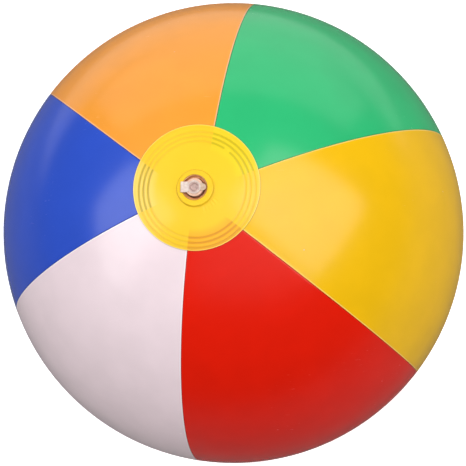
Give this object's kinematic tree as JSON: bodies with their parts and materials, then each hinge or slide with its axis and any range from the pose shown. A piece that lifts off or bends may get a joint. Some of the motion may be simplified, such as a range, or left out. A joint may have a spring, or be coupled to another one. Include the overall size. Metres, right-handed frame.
{
  "type": "inflatable beach ball",
  "caption": "Inflated beach ball of coloured welded film gores, with translucent cover discs at the poles and a push-in plugged air valve.",
  "frame": {"origin": "the ball's centre", "axes": "+Z along the valve's axis, out of the ball; -X towards the fold of the plug's strap"},
  "size_m": [0.26, 0.26, 0.2625],
  "materials": {
    "green_film": "opaque glossy green PVC film, calendered smooth",
    "orange_film": "opaque glossy orange PVC film, calendered smooth",
    "blue_film": "opaque glossy blue PVC film, calendered smooth",
    "white_film": "opaque glossy white PVC film, calendered smooth",
    "red_film": "opaque glossy red PVC film, calendered smooth",
    "yellow_film": "opaque glossy yellow PVC film, calendered smooth",
    "disc_film": "translucent yellow PVC film, glossy, with welded rings",
    "valve_vinyl": "soft clear PVC with a faint pinkish cast"
  },
  "bodies": {
    "ball": {"panel_green": "green_film", "panel_orange": "orange_film", "panel_blue": "blue_film", "panel_white": "white_film", "panel_red": "red_film", "panel_yellow": "yellow_film", "valve_disc": "disc_film", "base_disc": "disc_film", "valve_flange": "valve_vinyl", "valve_web": "valve_vinyl"},
    "stem": {"valve_stem": "valve_vinyl", "strap_root": "valve_vinyl"},
    "plug": {"plug": "valve_vinyl", "plug_strap": "valve_vinyl", "pull_tab": "valve_vinyl"},
    "flap": {"check_flap": "valve_vinyl"}
  },
  "joints": [
    {"name": "stem_slide", "type": "slide", "parent": "ball", "child": "stem", "axis": [0, 0, 1], "range_m": [0, 0.0145], "deforming": ["valve_web"]},
    {"name": "plug_swing", "type": "hinge", "parent": "stem", "child": "plug", "pos_m": [-0.00595, 0, 0.1317], "axis": [0, -1, 0], "range_deg": [0, 160]},
    {"name": "flap_swing", "type": "hinge", "parent": "stem", "child": "flap", "pos_m": [0.0042, 0, 0.12065], "axis": [0, -1, 0], "range_deg": [0, 60], "stiffness_Nm_per_rad": 0.0005}
  ]
}
